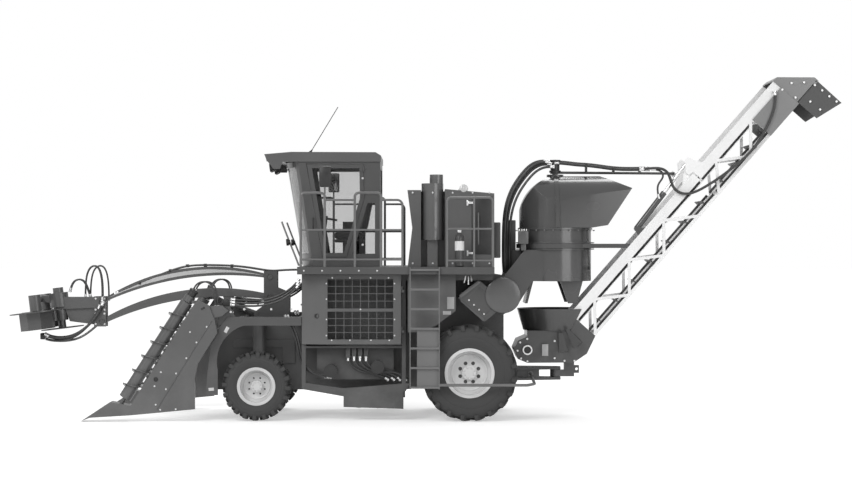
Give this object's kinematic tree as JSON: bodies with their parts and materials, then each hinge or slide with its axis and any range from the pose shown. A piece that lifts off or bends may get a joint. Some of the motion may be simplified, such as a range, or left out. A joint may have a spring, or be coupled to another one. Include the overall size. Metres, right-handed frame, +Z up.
{
  "type": "sugarcane harvester",
  "caption": "Wheeled self-propelled sugarcane harvester with a topper boom, twin crop dividers, operator cab, extractor hood and a slewing folding billet elevator.",
  "frame": {"origin": "middle of the footprint, on the ground the tyres stand on", "axes": "+X to the rear, along the elevator; -X is the front with the topper; -Y is the left side with the ladder; +Z up"},
  "size_m": [12.6718, 2.887, 5.1713],
  "materials": {
    "frame_paint": "dull dark grey paint",
    "body_paint": "dark grey gloss paint",
    "pale_paint": "pale grey gloss paint",
    "tank_plastic": "matt",
    "engine_iron": "dull",
    "exhaust_steel": "heat-dulled",
    "rail_paint": "gloss paint",
    "glass": "tinted",
    "seat_fabric": "woven",
    "console_plastic": "grained",
    "tyre_rubber": "dull rubber",
    "wheel_paint": "gloss paint",
    "tool_steel": "worn paint",
    "cylinder_paint": "gloss paint",
    "rod_chrome": "bright"
  },
  "bodies": {
    "chassis": {"main_frame": "frame_paint", "front_arches": "frame_paint", "bay_frame": "frame_paint", "chopper_housing": "frame_paint", "cleaning_chamber": "body_paint", "side_tanks": "tank_plastic", "deck": "frame_paint", "engine_block": "engine_iron", "engine_cowl": "body_paint", "stacks": "exhaust_steel", "handrails": "rail_paint", "ladder": "rail_paint", "cab_frame": "body_paint", "cab_glass": "glass", "cab_roof": "body_paint", "seat": "seat_fabric", "console": "console_plastic"},
    "steer_left": {"knuckle_left": "frame_paint"},
    "steer_right": {"knuckle_right": "frame_paint"},
    "front_wheel_left": {"front_tyre_left": "tyre_rubber", "front_rim_left": "wheel_paint"},
    "front_wheel_right": {"front_tyre_right": "tyre_rubber", "front_rim_right": "wheel_paint"},
    "rear_wheel_left": {"rear_tyre_left": "tyre_rubber", "rear_rim_left": "wheel_paint"},
    "rear_wheel_right": {"rear_tyre_right": "tyre_rubber", "rear_rim_right": "wheel_paint"},
    "bay_door_left": {"side_door_left": "body_paint"},
    "bay_door_right": {"side_door_right": "body_paint"},
    "cab_side_door": {"cab_door": "body_paint", "cab_door_glass": "glass"},
    "boom_upper": {"topper_upper_arm": "body_paint"},
    "boom_lower": {"topper_lower_arm": "body_paint"},
    "topper": {"topper_head": "body_paint"},
    "gather_drum_left": {"gather_left": "tool_steel"},
    "gather_drum_right": {"gather_right": "tool_steel"},
    "topper_disc": {"topper_cutter": "tool_steel"},
    "boom_barrel": {"lift_cylinder": "cylinder_paint"},
    "boom_rod": {"lift_rod": "rod_chrome"},
    "crop_divider_left": {"divider_left": "body_paint"},
    "crop_divider_right": {"divider_right": "body_paint"},
    "divider_scroll_left": {"scroll_left": "tool_steel"},
    "divider_scroll_right": {"scroll_right": "tool_steel"},
    "knockdown": {"knockdown_roller": "tool_steel"},
    "feed": {"feed_roller": "tool_steel"},
    "base_cutter_left": {"cutter_left": "tool_steel"},
    "base_cutter_right": {"cutter_right": "tool_steel"},
    "hood": {"extractor_hood": "body_paint"},
    "fan": {"extractor_fan": "tool_steel"},
    "elevator": {"elevator_foot": "body_paint", "elevator_lower": "pale_paint", "slats_lower": "tool_steel", "slew_links": "body_paint", "fold_cylinder": "cylinder_paint"},
    "elevator_top": {"elevator_upper": "pale_paint", "slats_upper": "tool_steel", "elevator_head": "body_paint"},
    "fold_ram": {"fold_rod": "rod_chrome"},
    "flap": {"bin_flap": "pale_paint"}
  },
  "joints": [
    {"name": "steering_left", "type": "hinge", "parent": "chassis", "child": "steer_left", "pos_m": [-2.52, -0.72, 0.515], "axis": [0, 0, 1], "range_deg": [-30, 30]},
    {"name": "front_wheel_left_spin", "type": "hinge", "parent": "steer_left", "child": "front_wheel_left", "pos_m": [-2.52, -1.06, 0.515], "axis": [0, 1, 0], "continuous": true},
    {"name": "rear_wheel_left_spin", "type": "hinge", "parent": "chassis", "child": "rear_wheel_left", "pos_m": [0.645, -1.095, 0.715], "axis": [0, 1, 0], "continuous": true},
    {"name": "bay_door_left_swing", "type": "hinge", "parent": "chassis", "child": "bay_door_left", "pos_m": [-0.358, -1.23, 1.65], "axis": [0, 0, 1], "range_deg": [0, 90]},
    {"name": "divider_left_lift", "type": "hinge", "parent": "chassis", "child": "crop_divider_left", "pos_m": [-2.99, -1.18, 1.64], "axis": [0, 1, 0], "range_deg": [0, 12]},
    {"name": "scroll_left_spin", "type": "hinge", "parent": "crop_divider_left", "child": "divider_scroll_left", "pos_m": [-4.527, -1.18, 0.262], "axis": [0.5434, 0, 0.8395], "continuous": true},
    {"name": "base_cutter_left_spin", "type": "hinge", "parent": "chassis", "child": "base_cutter_left", "pos_m": [-0.795, -0.32, 0.16], "axis": [0, 0, 1], "continuous": true},
    {"name": "gather_left_spin", "type": "hinge", "parent": "topper", "child": "gather_drum_left", "pos_m": [-5.925, -0.43, 1.455], "axis": [-0.1219, 0, 0.9925], "continuous": true},
    {"name": "steering_right", "type": "hinge", "parent": "chassis", "child": "steer_right", "pos_m": [-2.52, 0.72, 0.515], "axis": [0, 0, 1], "range_deg": [-30, 30]},
    {"name": "front_wheel_right_spin", "type": "hinge", "parent": "steer_right", "child": "front_wheel_right", "pos_m": [-2.52, 1.06, 0.515], "axis": [0, 1, 0], "continuous": true},
    {"name": "rear_wheel_right_spin", "type": "hinge", "parent": "chassis", "child": "rear_wheel_right", "pos_m": [0.645, 1.095, 0.715], "axis": [0, 1, 0], "continuous": true},
    {"name": "bay_door_right_swing", "type": "hinge", "parent": "chassis", "child": "bay_door_right", "pos_m": [-0.358, 1.23, 1.65], "axis": [0, 0, -1], "range_deg": [0, 90]},
    {"name": "divider_right_lift", "type": "hinge", "parent": "chassis", "child": "crop_divider_right", "pos_m": [-2.99, 1.18, 1.64], "axis": [0, 1, 0], "range_deg": [0, 12]},
    {"name": "scroll_right_spin", "type": "hinge", "parent": "crop_divider_right", "child": "divider_scroll_right", "pos_m": [-4.527, 1.18, 0.262], "axis": [0.5434, 0, 0.8395], "continuous": true},
    {"name": "base_cutter_right_spin", "type": "hinge", "parent": "chassis", "child": "base_cutter_right", "pos_m": [-0.795, 0.32, 0.16], "axis": [0, 0, 1], "continuous": true},
    {"name": "gather_right_spin", "type": "hinge", "parent": "topper", "child": "gather_drum_right", "pos_m": [-5.925, 0.43, 1.455], "axis": [-0.1219, 0, 0.9925], "continuous": true},
    {"name": "cab_door_swing", "type": "hinge", "parent": "chassis", "child": "cab_side_door", "pos_m": [-0.938, -0.752, 3.13], "axis": [0, 0, 1], "range_deg": [0, 40]},
    {"name": "boom_lift", "type": "hinge", "parent": "chassis", "child": "boom_upper", "pos_m": [-2.408, 0, 2.126], "axis": [0, 1, 0], "range_deg": [-10, 45]},
    {"name": "boom_lower_lift", "type": "hinge", "parent": "chassis", "child": "boom_lower", "pos_m": [-2.408, 0, 1.812], "axis": [0, 1, 0], "range_deg": [-10, 45]},
    {"name": "topper_level", "type": "hinge", "parent": "boom_upper", "child": "topper", "pos_m": [-4.995, 0, 1.747], "axis": [0, 1, 0], "range_deg": [-45, 10]},
    {"name": "topper_disc_spin", "type": "hinge", "parent": "topper", "child": "topper_disc", "pos_m": [-5.62497, 0, 1.39109], "axis": [-0.1219, 0, 0.9925], "continuous": true},
    {"name": "boom_barrel_swing", "type": "hinge", "parent": "chassis", "child": "boom_barrel", "pos_m": [-2.58, 0, 1.55], "axis": [0, 1, 0], "range_deg": [-9.82, 44.19]},
    {"name": "boom_rod_slide", "type": "slide", "parent": "boom_barrel", "child": "boom_rod", "axis": [-0.9454, 0, 0.3259], "range_m": [-0.05362, 0.24127]},
    {"name": "knockdown_spin", "type": "hinge", "parent": "chassis", "child": "knockdown", "pos_m": [-3.05, 0, 1.33], "axis": [0, 1, 0], "continuous": true},
    {"name": "feed_spin", "type": "hinge", "parent": "chassis", "child": "feed", "pos_m": [-2.84, 0, 0.8], "axis": [0, 1, 0], "continuous": true},
    {"name": "hood_swivel", "type": "hinge", "parent": "chassis", "child": "hood", "pos_m": [1.995, 0, 2.88], "axis": [0, 0, 1], "range_deg": [-90, 90]},
    {"name": "fan_spin", "type": "hinge", "parent": "hood", "child": "fan", "pos_m": [1.995, 0, 2.7], "axis": [0, 0, 1], "continuous": true},
    {"name": "elevator_slew", "type": "hinge", "parent": "chassis", "child": "elevator", "pos_m": [1.995, 0, 0.64], "axis": [0, 0, 1], "range_deg": [-80, 80]},
    {"name": "elevator_fold", "type": "hinge", "parent": "elevator", "child": "elevator_top", "pos_m": [4.00432, 0, 3.72659], "axis": [0, -1, 0], "range_deg": [0, 95]},
    {"name": "fold_rod_slide", "type": "slide", "parent": "elevator", "child": "fold_ram", "axis": [0.6076, 0, 0.7942], "range_m": [-0.25, 0]},
    {"name": "flap_swing", "type": "hinge", "parent": "elevator_top", "child": "flap", "pos_m": [5.94076, 0, 5.10813], "axis": [0, -1, 0], "range_deg": [0, 35]}
  ],
  "couplings": [
    {"joint": "steering_right", "follows": "steering_left", "ratio": 1},
    {"joint": "boom_lower_lift", "follows": "boom_lift", "ratio": 1},
    {"joint": "topper_level", "follows": "boom_lift", "ratio": -1},
    {"joint": "boom_barrel_swing", "follows": "boom_lift", "ratio": 0.98197},
    {"joint": "boom_rod_slide", "follows": "boom_lift", "m_per_rad": 0.30719},
    {"joint": "fold_rod_slide", "follows": "elevator_fold", "m_per_rad": -0.15078}
  ]
}
